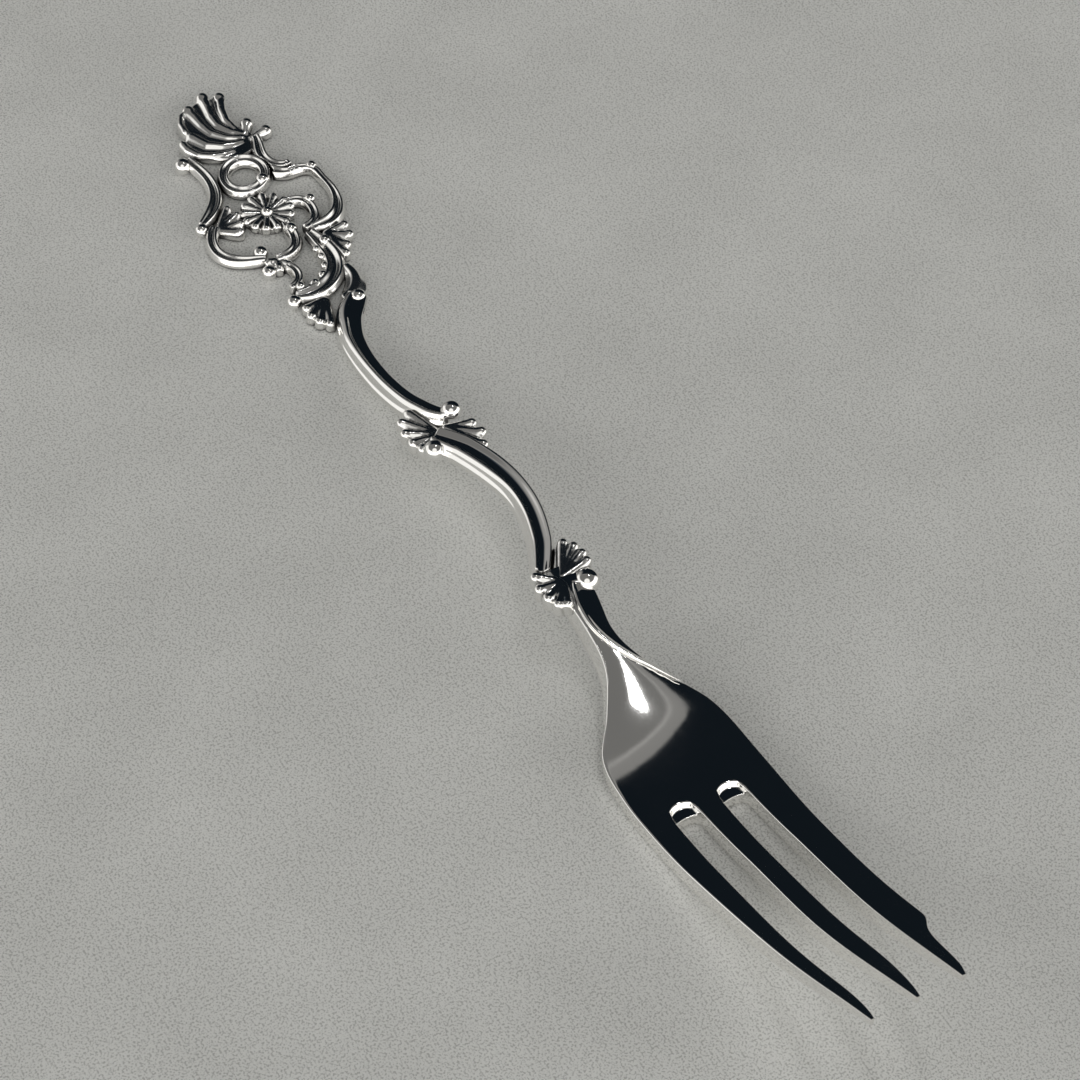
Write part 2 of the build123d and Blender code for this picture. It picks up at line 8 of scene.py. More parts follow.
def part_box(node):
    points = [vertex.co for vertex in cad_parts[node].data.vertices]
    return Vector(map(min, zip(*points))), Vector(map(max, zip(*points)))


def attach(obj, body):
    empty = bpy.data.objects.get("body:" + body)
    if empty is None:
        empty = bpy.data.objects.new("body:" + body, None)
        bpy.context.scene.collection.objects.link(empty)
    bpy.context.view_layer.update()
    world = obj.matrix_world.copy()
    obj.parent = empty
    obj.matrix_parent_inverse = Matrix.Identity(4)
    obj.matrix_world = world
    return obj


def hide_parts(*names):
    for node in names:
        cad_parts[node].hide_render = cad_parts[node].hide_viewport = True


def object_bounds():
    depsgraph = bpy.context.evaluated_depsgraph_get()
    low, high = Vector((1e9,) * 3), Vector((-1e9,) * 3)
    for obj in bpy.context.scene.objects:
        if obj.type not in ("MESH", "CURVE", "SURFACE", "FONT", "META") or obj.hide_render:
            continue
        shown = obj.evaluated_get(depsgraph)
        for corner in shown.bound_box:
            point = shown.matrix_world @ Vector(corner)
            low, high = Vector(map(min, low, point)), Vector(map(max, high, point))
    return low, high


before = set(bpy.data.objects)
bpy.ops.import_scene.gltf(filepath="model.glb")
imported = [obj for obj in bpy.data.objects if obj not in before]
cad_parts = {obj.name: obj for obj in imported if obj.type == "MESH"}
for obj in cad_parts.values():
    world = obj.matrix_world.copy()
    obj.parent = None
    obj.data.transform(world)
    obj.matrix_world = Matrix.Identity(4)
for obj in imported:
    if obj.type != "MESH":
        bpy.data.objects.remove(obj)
cad_low, cad_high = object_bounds()
scene = bpy.context.scene


# Fork head
# Forged from one silver blank: a crowned shoulder, two slim tines and a wide notched cutting tine. The
# slots are sawn down to a small sunk ledge, and the faces are finished with an abrasive along the fork.
MM = 0.001
HEAD_ROWS = 184
TINE_COLUMNS = (0.0, 0.14, 0.32, 0.5, 0.68, 0.86, 1.0)
SLOT_COLUMNS = (0.08, 0.27, 0.5, 0.73, 0.92)
EDGE_ROUNDING = 0.18
EDGE_SHARE = 0.07
SIDE_ROUNDING = 0.24
SIDE_SHARE = 0.1
HEAD_START = 13.25
HEAD_END = 75.76
SLOT_ROOT = 42.3
ROOT_ROUNDING = 0.36
ROOT_FADE = 5.0
ROOT_SLOPE = -0.2
SHELF_LENGTH = 0.75
SHELF_DROP = 0.55
SHELF_ARCH = 0.45
SHELF_MARGIN = 0.1
ROW_MARGIN = 0.01
LEAST_SOLE = 0.004
EDGE_ANGLE = radians(40)
EDGE_SEGMENTS = 3
SIDE_START = 33.0
SIDE_FULL = 38.0
SIDE_REACH = 0.1
ROOT_EDGE = 0.05
ROOT_WEAR = 0.45
HEAD_LEVELS = 1
FLARE_POWER = 3
LEFT_EDGE = [
    (12.68, -2.14), (20.78, -1.56), (25.08, -1.86), (29.38, -4.11), (33.18, -6.75), (38.08, -7.29),
    (44.28, -7), (58.28, -5.68), (70.38, -5.04), (75.76, -4.83),
]
RIGHT_EDGE = [
    (12.68, 0.66), (16.98, 1.59), (20.78, 1.14), (25.08, 2.19), (28.88, 4.14), (32.08, 6.05), (35.88, 6.9),
    (44.28, 7.35), (60.28, 7.7), (65.28, 7.73), (66.28, 7.61), (66.98, 7.26), (67.68, 6.81), (69.08, 6.35),
    (74.18, 5.51), (75.76, 4.97),
]
PLAIN_SLOT_LEFT = [
    (41.81, -4.35), (54.78, -3.78), (67.5, -3.73), (71.2, -3.8), (73.6, -4.02), (75.0, -4.27),
    (75.76, -4.46),
]
PLAIN_SLOT_RIGHT = [(41.81, -1.7), (51.28, -0.9), (61.78, -0.6), (75.76, -0.13)]
CUTTING_SLOT_LEFT = [
    (41.81, 0.85), (54.78, 1.43), (65.5, 1.5), (69.3, 1.35), (72.2, 1.0), (74.4, 0.6), (75.76, 0.24),
]
CUTTING_SLOT_RIGHT = [(41.81, 3.5), (51.28, 4.3), (61.78, 4.6), (75.76, 4.57)]
HEAD_TOP = [
    (12.68, 7.35), (17.78, 7), (25.08, 5.05), (33.78, 2.8), (40.78, 2.1), (49.48, 2.65),
    (61.78, 5.7), (75.76, 12.4),
]
HEAD_SOLE = [
    (12.68, 4.95), (17.78, 4.6), (25.08, 2.65), (33.78, 0.6), (40.78, 0), (49.48, 0.5),
    (61.78, 3.65), (75.76, 11.5),
]
SHOULDER_CROWN = [
    (12.7, 0.3), (20.0, 0.25), (27.0, 0.3), (33.0, 0.35), (38.0, 0.25), (42.5, 0.06), (75.76, 0.0),
]
PLAIN_FLARE = [(12.7, 0.0), (20.8, 0.35), (25.1, 0.5), (29.4, 0.4), (33.2, 0.0), (75.76, 0.0)]


def slope_at(stations, step, column):
    """Slope of a column of stations at one of them."""
    before = stations[max(step - 1, 0)]
    after = stations[min(step + 1, len(stations) - 1)]
    return (after[column] - before[column]) / (after[0] - before[0])


def along(stations, x, column=1):
    """Value of a column of stations at x, on a smooth curve through them."""
    step = 0
    while step < len(stations) - 2 and stations[step + 1][0] < x:
        step += 1
    first, second = stations[step], stations[step + 1]
    run = second[0] - first[0]
    share = min(max((x - first[0]) / run, 0.0), 1.0)
    rest = 1.0 - share
    held = first[column] * (1 + 2 * share) * rest**2 + second[column] * (1 + 2 * rest) * share**2
    leaning = slope_at(stations, step, column) * share * rest**2
    leaving = slope_at(stations, step + 1, column) * share**2 * rest
    return held + run * (leaning - leaving)


def slot_edges(x):
    """Slot edges at x; ahead of the slots they keep the shares that they have at the root."""
    reach = max(x, SLOT_ROOT)
    edges = [along(knots, reach) for knots in
             (PLAIN_SLOT_LEFT, PLAIN_SLOT_RIGHT, CUTTING_SLOT_LEFT, CUTTING_SLOT_RIGHT)]
    root_left, root_right = along(LEFT_EDGE, reach), along(RIGHT_EDGE, reach)
    left, right = along(LEFT_EDGE, x), along(RIGHT_EDGE, x)
    inner = [left + (right - left) * (y - root_left) / (root_right - root_left) for y in edges]
    return [left] + inner + [right]


def head_columns():
    """Columns across the head as (strip, share): strips 0, 2 and 4 are tines, 1 and 3 are slots."""
    columns = []
    for strip in range(5):
        columns += [(strip, share) for share in (SLOT_COLUMNS if strip % 2 else TINE_COLUMNS)]
    return columns


def smooth_step(low, high, value):
    """Rise from 0 to 1 between two values, level at both ends."""
    share = min(max((value - low) / (high - low), 0.0), 1.0)
    return share * share * (3 - 2 * share)


def root_curve(row_x, strip, share):
    """How far a slot column curves back round the slot root, from 0 to 1."""
    if strip % 2 == 0 or row_x > SLOT_ROOT + SHELF_LENGTH + SHELF_MARGIN:
        return 0.0
    bow = sqrt(max(1 - (2 * share - 1) ** 2, 0.0))
    if row_x > SLOT_ROOT + ROW_MARGIN:
        return SHELF_ARCH * bow
    return bow * smooth_step(SLOT_ROOT - ROOT_FADE, SLOT_ROOT, row_x)


def shelf_drop(row_x, strip):
    """How far the shelf at the root of a slot lies under the face of the head."""
    return SHELF_DROP if strip % 2 and row_x > SLOT_ROOT - ROW_MARGIN else 0.0


def head_point(row_x, strip, share):
    """Plan place of a head vertex."""
    edges = slot_edges(row_x)
    gap = edges[strip + 1] - edges[strip]
    return row_x - ROOT_ROUNDING * gap * root_curve(row_x, strip, share), edges[strip] + gap * share


NECK_X = 13.77
SHOULDER_LENGTH = 27.0
SIDE_SHIFT = -0.61
COVE_PROUD = 0.25
COVE_DEPTH = 1.2
COVE_BED = 0.9
COVE_RAIL = 0.8
BED_START = -0.05
BED_FULL = 0.15
COVE_ROUTE = [
    (0.085, 1.2, 2.0), (0.12, 1.0, 2.4), (0.185, 0.65, 2.6), (0.26, 0.55, 2.3), (0.33, 0.95, 1.9),
    (0.41, 1.95, 1.4), (0.48, 3.1, 0.85), (0.54, 4.1, 0.4), (0.58, 4.8, 0.1),
]
cove_line = [(NECK_X + share * SHOULDER_LENGTH, y + SIDE_SHIFT, width) for share, y, width in COVE_ROUTE]


def crowned_height(x, y):
    """Height of the head's upper face, crowned across the shoulder."""
    left, right = along(LEFT_EDGE, x), along(RIGHT_EDGE, x)
    across = (2 * y - left - right) / (right - left)
    return along(HEAD_TOP, x) - along(SHOULDER_CROWN, x) * across**2


def head_height(x, y):
    """Height of the head's upper face, sunk from the rail of the cove to the cutting side."""
    height = crowned_height(x, y)
    if cove_line[0][0] < x < cove_line[-1][0]:
        width = along(cove_line, x, 2)
        rail = along(cove_line, x) - COVE_RAIL * width / 2
        height -= COVE_BED * min(COVE_DEPTH, width) * smooth_step(BED_START, BED_FULL, y - rail)
    return height


def new_piece(name, mesh):
    """Object at the origin that holds a finished bmesh."""
    bmesh.ops.recalc_face_normals(mesh, faces=mesh.faces)
    data = bpy.data.meshes.new(name)
    for face in mesh.faces:
        face.smooth = True
    mesh.to_mesh(data)
    mesh.free()
    piece = bpy.data.objects.new(name, data)
    scene.collection.objects.link(piece)
    return piece


def rounded_by(piece, levels):
    """Subdivision that rounds a modelled piece."""
    surface = piece.modifiers.new("rounded", "SUBSURF")
    surface.levels = levels
    surface.render_levels = levels


columns = head_columns()
mesh = bmesh.new()
bmesh.ops.create_grid(mesh, x_segments=HEAD_ROWS, y_segments=len(columns) - 1, size=1)
row_step = (HEAD_END - HEAD_START) / HEAD_ROWS
root_row = round((SLOT_ROOT - HEAD_START) / row_step)
shelf_row = root_row + round(SHELF_LENGTH / row_step)
slot_faces = []
for face in mesh.faces:
    middle = face.calc_center_median()
    column = int((middle.y + 1) / 2 * (len(columns) - 1))
    row = int((middle.x + 1) / 2 * HEAD_ROWS)
    in_slot = columns[column][0] % 2 or columns[column + 1][0] % 2
    if in_slot and row >= shelf_row:
        slot_faces.append(face)
root_shares = mesh.verts.layers.float.new("root_share")
for vert in mesh.verts:
    row = round((vert.co.x + 1) / 2 * HEAD_ROWS)
    strip, share = columns[round((vert.co.y + 1) / 2 * (len(columns) - 1))]
    row_x = SLOT_ROOT + (row - root_row) * row_step
    row_x = HEAD_END if row == HEAD_ROWS else min(max(row_x, HEAD_START), HEAD_END)
    x, y = head_point(row_x, strip, share)
    vert.co = Vector((x, y, head_height(x, y) - shelf_drop(row_x, strip))) * MM
    vert[root_shares] = root_curve(row_x, strip, share)
bmesh.ops.delete(mesh, geom=slot_faces, context="FACES")
thick = bmesh.ops.extrude_face_region(mesh, geom=mesh.faces[:])
for vert in [part for part in thick["geom"] if isinstance(part, bmesh.types.BMVert)]:
    x, y = vert.co.x / MM, vert.co.y / MM
    left, right = along(LEFT_EDGE, x), along(RIGHT_EDGE, x)
    outward = max((left + right - 2 * y) / (right - left), 0.0)
    vert.co.y -= along(PLAIN_FLARE, x) * outward**FLARE_POWER * MM
    vert.co.z = max(along(HEAD_SOLE, x), LEAST_SOLE) * MM
    vert.co.x += ROOT_SLOPE * vert[root_shares] * MM
bmesh.ops.recalc_face_normals(mesh, faces=mesh.faces)
wear = mesh.edges.layers.float.new("bevel_weight_edge")
for edge in mesh.edges:
    if edge.is_manifold and edge.calc_face_angle() > EDGE_ANGLE:
        x = max(vert.co.x for vert in edge.verts) / MM
        y = max(vert.co.y for vert in edge.verts) / MM
        slim = along(PLAIN_SLOT_LEFT, max(x, SLOT_ROOT)) - along(LEFT_EDGE, max(x, SLOT_ROOT))
        rounding = min(EDGE_SHARE * slim, EDGE_ROUNDING)
        if y < along(LEFT_EDGE, x) + SIDE_REACH:
            side_rounding = min(SIDE_SHARE * slim, SIDE_ROUNDING)
            rounding += (side_rounding - rounding) * smooth_step(SIDE_START, SIDE_FULL, x)
        if min(vert[root_shares] for vert in edge.verts) > ROOT_EDGE:
            rounding *= ROOT_WEAR
        edge[wear] = rounding / SIDE_ROUNDING
fork_head = new_piece("head", mesh)
edge_wheel = fork_head.modifiers.new("edges", "BEVEL")
edge_wheel.limit_method = "WEIGHT"
edge_wheel.width = SIDE_ROUNDING * MM
edge_wheel.segments = EDGE_SEGMENTS
edge_wheel.use_clamp_overlap = False
rounded_by(fork_head, HEAD_LEVELS)


def node_group(name, inputs, outputs):
    """Empty shader node group with float inputs and outputs."""
    tree = bpy.data.node_groups.new(name, "ShaderNodeTree")
    for socket, value in inputs.items():
        entry = tree.interface.new_socket(socket, in_out="INPUT", socket_type="NodeSocketFloat")
        entry.default_value = value
    for socket in outputs:
        tree.interface.new_socket(socket, in_out="OUTPUT", socket_type="NodeSocketFloat")
    return tree, tree.nodes.new("NodeGroupInput"), tree.nodes.new("NodeGroupOutput")


def texture(tree, scale, detail, stretch=(1, 1, 1)):
    """Noise on the piece's own coordinates, drawn out along an axis by its stretch."""
    place = tree.nodes.new("ShaderNodeTexCoord")
    mapping = tree.nodes.new("ShaderNodeMapping")
    mapping.inputs["Scale"].default_value = stretch
    noise = tree.nodes.new("ShaderNodeTexNoise")
    noise.inputs["Scale"].default_value = scale
    noise.inputs["Detail"].default_value = detail
    tree.links.new(place.outputs["Object"], mapping.inputs["Vector"])
    tree.links.new(mapping.outputs["Vector"], noise.inputs["Vector"])
    return noise.outputs["Fac"]


def ranged(tree, value, low, high, to_low=0.0, to_high=1.0):
    """Value stretched from one range to another and held inside it."""
    fit = tree.nodes.new("ShaderNodeMapRange")
    fit.interpolation_type = "SMOOTHSTEP"
    for socket, number in zip(("From Min", "From Max", "To Min", "To Max"), (low, high, to_low, to_high)):
        fit.inputs[socket].default_value = number
    tree.links.new(value, fit.inputs["Value"])
    return fit.outputs["Result"]


def reckon(tree, operation, first, second):
    """One sum on two values, either of which may be a plain number."""
    node = tree.nodes.new("ShaderNodeMath")
    node.operation = operation
    for socket, value in zip(node.inputs, (first, second)):
        if isinstance(value, (int, float)):
            socket.default_value = value
        else:
            tree.links.new(value, socket)
    return node.outputs["Value"]


RECESS_SAMPLES = 8
MOTTLE_SCALE = 900.0
MOTTLE_RANGE = (0.3, 0.7, 0.85, 1.1)
SHELTER_RANGE = (0.35, 1.0)
LINE_STRETCH = (60.0, 9000.0, 9000.0)
LINE_RANGE = (0.55, 0.75)
CLOUD_SCALE = 160.0
CLOUD_RANGE = (0.35, 0.75)
DULLING = 0.3
recess, recess_in, recess_out = node_group("recess", {"Reach": 0.0012, "Edge": 0.75}, ["Mask"])
shelter = recess.nodes.new("ShaderNodeAmbientOcclusion")
shelter.samples = RECESS_SAMPLES
recess.links.new(recess_in.outputs["Reach"], shelter.inputs["Distance"])
open_share = reckon(recess, "DIVIDE", shelter.outputs["AO"], recess_in.outputs["Edge"])
mottle = ranged(recess, texture(recess, MOTTLE_SCALE, detail=3.0), *MOTTLE_RANGE)
mottled_share = reckon(recess, "MULTIPLY", open_share, mottle)
mask = reckon(recess, "SUBTRACT", 1.0, ranged(recess, mottled_share, *SHELTER_RANGE))
recess.links.new(mask, recess_out.inputs["Mask"])

polish_marks = {"Base": 0.07, "Spread": 0.06, "Scratch": 0.0}
polish, polish_in, polish_out = node_group("polish", polish_marks, ["Roughness", "Height"])
lines = texture(polish, 1.0, detail=2.0, stretch=LINE_STRETCH)
clouds = texture(polish, CLOUD_SCALE, detail=4.0)
spread = reckon(polish, "MULTIPLY", ranged(polish, clouds, *CLOUD_RANGE), polish_in.outputs["Spread"])
scratches = reckon(polish, "MULTIPLY", ranged(polish, lines, *LINE_RANGE), polish_in.outputs["Scratch"])
worn = reckon(polish, "ADD", spread, scratches)
polish.links.new(reckon(polish, "ADD", polish_in.outputs["Base"], worn), polish_out.inputs["Roughness"])
polish.links.new(lines, polish_out.inputs["Height"])


def silver(name, colour, tarnish, base, spread, scratch, reach, tarnish_share, line_depth):
    """Polished silver, darkened in its recesses, with the marks of polishing on its faces."""
    material = bpy.data.materials.new(name)
    material.use_nodes = True
    tree = material.node_tree
    shader = tree.nodes["Principled BSDF"]
    shader.inputs["Metallic"].default_value = 1.0
    dark = tree.nodes.new("ShaderNodeGroup")
    dark.node_tree = recess
    dark.inputs["Reach"].default_value = reach
    marks = tree.nodes.new("ShaderNodeGroup")
    marks.node_tree = polish
    marks.inputs["Base"].default_value = base
    marks.inputs["Spread"].default_value = spread
    marks.inputs["Scratch"].default_value = scratch
    tone = tree.nodes.new("ShaderNodeMix")
    tone.data_type = "RGBA"
    tone.inputs["A"].default_value = (*colour, 1.0)
    tone.inputs["B"].default_value = (*tarnish, 1.0)
    tree.links.new(reckon(tree, "MULTIPLY", dark.outputs["Mask"], tarnish_share), tone.inputs["Factor"])
    tree.links.new(tone.outputs["Result"], shader.inputs["Base Color"])
    dull = reckon(tree, "MULTIPLY", dark.outputs["Mask"], DULLING * tarnish_share)
    tree.links.new(reckon(tree, "ADD", marks.outputs["Roughness"], dull), shader.inputs["Roughness"])
    bump = tree.nodes.new("ShaderNodeBump")
    bump.inputs["Strength"].default_value = 1.0
    bump.inputs["Distance"].default_value = line_depth
    tree.links.new(marks.outputs["Height"], bump.inputs["Height"])
    tree.links.new(bump.outputs["Normal"], shader.inputs["Normal"])
    return material


BRIGHT = (0.92, 0.91, 0.89)
TARNISH = (0.035, 0.034, 0.036)
polished = silver("polished_silver", BRIGHT, TARNISH, base=0.05, spread=0.05, scratch=0.03,
                  reach=0.0008, tarnish_share=0.25, line_depth=6e-7)
cast = silver("cast_silver", BRIGHT, TARNISH, base=0.14, spread=0.08, scratch=0.0,
              reach=0.0012, tarnish_share=0.95, line_depth=1e-7)


def fitted(piece, node, material):
    """Finish of a piece that stands for a solid of the frame."""
    piece.data.materials.clear()
    piece.data.materials.append(material)
    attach(piece, "root")
    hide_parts(node)


fitted(fork_head, "fork_head", polished)


# Stem and shoulder mouldings
# Three drawn silver mouldings with a hollow face beside a raised rail. Two of them, with round backs,
# make the S-bends of the stem, and the third is let into the cutting side of the shoulder.
MOULDING_ROWS = 90
MOULDING_LEVELS = 2
HEADING_REACH = 0.05
SEAM_GAP = 1e-7
BELLY_SPREAD = 0.12
ORNAMENT_FOOT = -36.73
UPPER_STEM_LENGTH = 24.5
LOWER_STEM_LENGTH = 26.0
UPPER_STEM_TOPS = (1.7, 3.0, 5.0)
LOWER_STEM_TOPS = (5.0, 6.6, 7.35)
UPPER_STEM_DEPTHS = (1.35, 2.6, 2.3)
LOWER_STEM_DEPTHS = (2.3, 2.5, 2.4)
UPPER_STEM_ROUTE = [
    (-0.017, 3.2, 2.3), (0.045, 1.8, 2.8), (0.1, 0.85, 2.7), (0.165, 0.15, 2.5), (0.25, -0.55, 2.4),
    (0.37, -0.97, 2.2), (0.5, -1.1, 2.1), (0.625, -1.0, 2.1), (0.75, -0.6, 2.1), (0.84, 0.05, 2.1),
    (0.9, 0.65, 2.0), (0.945, 1.4, 1.7), (0.965, 2.05, 1.2),
]
LOWER_STEM_ROUTE = [
    (0.055, -1.15, 2.2), (0.12, -0.2, 2.6), (0.19, 0.65, 2.8), (0.35, 1.75, 2.8), (0.5, 2.2, 2.5),
    (0.65, 1.85, 2.4), (0.81, 0.65, 2.3), (0.885, -0.3, 2.1), (0.965, -1.5, 1.8),
]
UPPER_SECTION = [
    (0.0, 0.0, -1.0), (0.0, 0.55, -0.96), (0.0, 0.88, -0.8), (0.0, 1.0, -0.55), (0.0, 0.98, -0.36),
    (0.99, 0.0, -0.26), (0.96, 0.0, -0.2), (0.88, 0.0, -0.175), (0.7, 0.0, -0.18), (0.45, 0.0, -0.19),
    (0.2, 0.0, -0.19), (0.0, 0.0, -0.175),
    (-0.12, 0.0, -0.12), (-0.22, 0.0, -0.04), (-0.34, 0.0, 0.0), (-0.5, 0.0, -0.025), (-0.66, 0.0, -0.09),
    (-0.8, 0.0, -0.175), (-0.91, 0.0, -0.27), (-0.99, 0.0, -0.37), (0.0, -0.98, -0.48), (0.0, -1.0, -0.6),
    (0.0, -0.88, -0.82), (0.0, -0.55, -0.96),
]
LOWER_SECTION = [
    (0.0, 0.0, -1.0), (0.0, 0.55, -0.96), (0.0, 0.88, -0.8), (0.0, 1.0, -0.55), (0.0, 0.98, -0.36),
    (0.99, 0.0, -0.2), (0.96, 0.0, -0.06), (0.88, 0.0, -0.01), (0.76, 0.0, -0.03), (0.6, 0.0, -0.08),
    (0.42, 0.0, -0.14), (0.24, 0.0, -0.18),
    (0.0, 0.0, -0.2), (-0.18, 0.0, -0.19), (-0.3, 0.0, -0.14), (-0.39, 0.0, -0.05), (-0.5, 0.0, 0.0),
    (-0.64, 0.0, -0.03), (-0.77, 0.0, -0.1), (-0.89, 0.0, -0.2), (-0.98, 0.0, -0.33), (0.0, -0.98, -0.45),
    (0.0, -1.0, -0.6), (0.0, -0.88, -0.82), (0.0, -0.55, -0.96),
]
COVE_SECTION = [
    (0.0, 0.0, -1.0), (0.7, 0.0, -1.0), (0.95, 0.0, -0.97), (1.0, 0.0, -0.86), (0.97, 0.0, -0.76),
    (0.6, 0.0, -0.66), (0.0, 0.0, -0.48), (-0.4, 0.0, -0.25), (-0.6, 0.0, -0.06), (-0.72, 0.0, 0.0),
    (-0.86, 0.0, -0.02),
    (-0.97, 0.0, -0.12), (-1.0, 0.0, -0.5), (-0.8, 0.0, -0.98),
]


def arch(values, share):
    """Value on a curve through three, at the start, middle and end of a run."""
    start, middle, end = values
    rise = 4 * middle * share * (1 - share)
    return start * (1 - 2 * share) * (1 - share) + rise + end * share * (2 * share - 1)


def stem_stations(start, length, tops, depths, route):
    """Stations of (x, y, width, top, depth) along a stem."""
    return [(start + share * length, y + SIDE_SHIFT, width, arch(tops, share), arch(depths, share))
            for share, y, width in route]


def moulding(name, stations, section):
    """Section drawn along stations of (x, y, width, top, depth), its seam closed and its ends filled."""
    mesh = bmesh.new()
    corners = len(section)
    skin = bmesh.ops.create_grid(mesh, x_segments=MOULDING_ROWS, y_segments=corners, size=1)
    start, end = stations[0][0], stations[-1][0]
    for vert in skin["verts"]:
        x = start + (end - start) * (vert.co.x + 1) / 2
        across, belly, rise = section[round((vert.co.y + 1) / 2 * corners) % corners]
        y, width, top, depth = [along(stations, x, column) for column in (1, 2, 3, 4)]
        low, high = max(x - HEADING_REACH, start), min(x + HEADING_REACH, end)
        heading = Vector((high - low, along(stations, high) - along(stations, low), 0)).normalized()
        offset = across * width / 2 + belly * (width / 2 + BELLY_SPREAD * depth)
        vert.co = Vector((x - heading.y * offset, y + heading.x * offset, top + rise * depth)) * MM
    bmesh.ops.remove_doubles(mesh, verts=mesh.verts, dist=SEAM_GAP)
    ends = [edge for edge in mesh.edges if edge.is_boundary]
    bmesh.ops.holes_fill(mesh, edges=ends)
    piece = new_piece(name, mesh)
    rounded_by(piece, MOULDING_LEVELS)
    return piece


waist_x = ORNAMENT_FOOT + UPPER_STEM_LENGTH
upper_stem = stem_stations(ORNAMENT_FOOT, UPPER_STEM_LENGTH, UPPER_STEM_TOPS, UPPER_STEM_DEPTHS,
                           UPPER_STEM_ROUTE)
lower_stem = stem_stations(waist_x, LOWER_STEM_LENGTH, LOWER_STEM_TOPS, LOWER_STEM_DEPTHS,
                           LOWER_STEM_ROUTE)
cove = [(x, y, width, along(HEAD_TOP, x) + COVE_PROUD * min(width, 1.0), min(COVE_DEPTH, width))
        for x, y, width in cove_line]
fitted(moulding("upper_stem", upper_stem, UPPER_SECTION), "upper_stem_scroll", polished)
fitted(moulding("lower_stem", lower_stem, LOWER_SECTION), "lower_stem_scroll", polished)
fitted(moulding("shoulder_cove", cove, COVE_SECTION), "shoulder_scroll", polished)


# Cast ornament
# Shells, leaves, scrolls and the rosette are cast in silver, filed, and soldered edge to edge. The
# mould and the polishing wheel leave their edges round, and the hollows keep a dark oxide.
CAST_NODES = [
    "waist_shell_left", "waist_shell_right", "neck_shell_left", "neck_shell_right", "base_scroll",
    "base_leaf_right", "base_shell_left", "side_shell_right", "right_scroll",
    "inner_right_scroll", "rosette_strap", "rosette", "ring_scroll", "left_shoulder_scroll",
    "left_lower_scroll", "leaf_spray", "link_scroll", "link_leaf", "crest_lip_scroll", "crest_shell",
]
SKIN_STEP = 0.075
WELD = 1e-6
WHEEL_FACTOR = 0.5
WHEEL_PASSES = 9
SHELL_PASSES = 26
SWELL = 0.09
WAIST_SINK = 0.7
RING_SQUEEZE = 0.86
RING_ACROSS = Vector((0.485, 0.875, 0.0))
WAIST_HEAD = 4.75
NECK_HEAD = 7.65
FLAT_HEAD = 1.45
HEAD_FINENESS = 3
LOBE_HEADS = {
    "waist_shell_left": (waist_x, WAIST_HEAD, 0.55, [(-2.8, -2.7), (-1.2, -3.1), (0.4, -3.0), (1.6, -2.5)]),
    "waist_shell_right": (waist_x, WAIST_HEAD, 0.6, [(1.3, 3.4), (2.9, 3.7), (4.6, 3.0)]),
    "neck_shell_right": (NECK_X, NECK_HEAD, 0.5, [(-3.0, 2.1), (-2.1, 2.8), (-0.9, 3.1), (0.2, 3.0)]),
    "neck_shell_left": (
        NECK_X, NECK_HEAD, 0.55, [(-0.3, -2.5), (1.3, -2.9), (2.7, -2.7), (3.8, -2.2), (4.2, -1.4)]),
    "side_shell_right": (
        ORNAMENT_FOOT, FLAT_HEAD, 0.55, [(-11.45, 7.1), (-9.8, 6.9), (-8.4, 5.9), (-7.2, 5.2)]),
    "base_shell_left": (
        ORNAMENT_FOOT, FLAT_HEAD, 0.5, [(-1.2, -2.6), (0.1, -2.7), (1.3, -2.25), (2.2, -1.4)]),
    "leaf_spray": (
        ORNAMENT_FOOT, FLAT_HEAD, 0.45, [(-20.1, -3.3), (-18.7, -2.8), (-17.2, -3.0), (-16.0, -3.6)]),
    "crest_shell": (
        ORNAMENT_FOOT, FLAT_HEAD, 0.75,
        [(-38.2, 2.15), (-37.4, 3.9), (-37.0, -0.2), (-32.3, 4.95), (-30.3, 6.4)]),
}
CREST_BEND = -60.0
CREST_END = -75.76
CREST_LIFT = 1.0


def bent_up(mesh):
    """Bend the end of the handle up from the table."""
    for vert in mesh.verts:
        share = max(CREST_BEND - vert.co.x / MM, 0.0) / (CREST_BEND - CREST_END)
        vert.co.z += CREST_LIFT * share**2 * MM


def kept_inside(mesh):
    """Hold a piece inside the space that the fork takes up."""
    for vert in mesh.verts:
        vert.co = [min(max(*pair), most) for *pair, most in zip(vert.co, cad_low, cad_high)]


def add_heads(mesh, start, top, radius, tips):
    """Round heads at the ends of a shell's lobes."""
    for x, y in tips:
        place = Matrix.Translation((start + x, y + SIDE_SHIFT, top - radius))
        bmesh.ops.create_icosphere(mesh, subdivisions=HEAD_FINENESS, radius=radius, matrix=place)


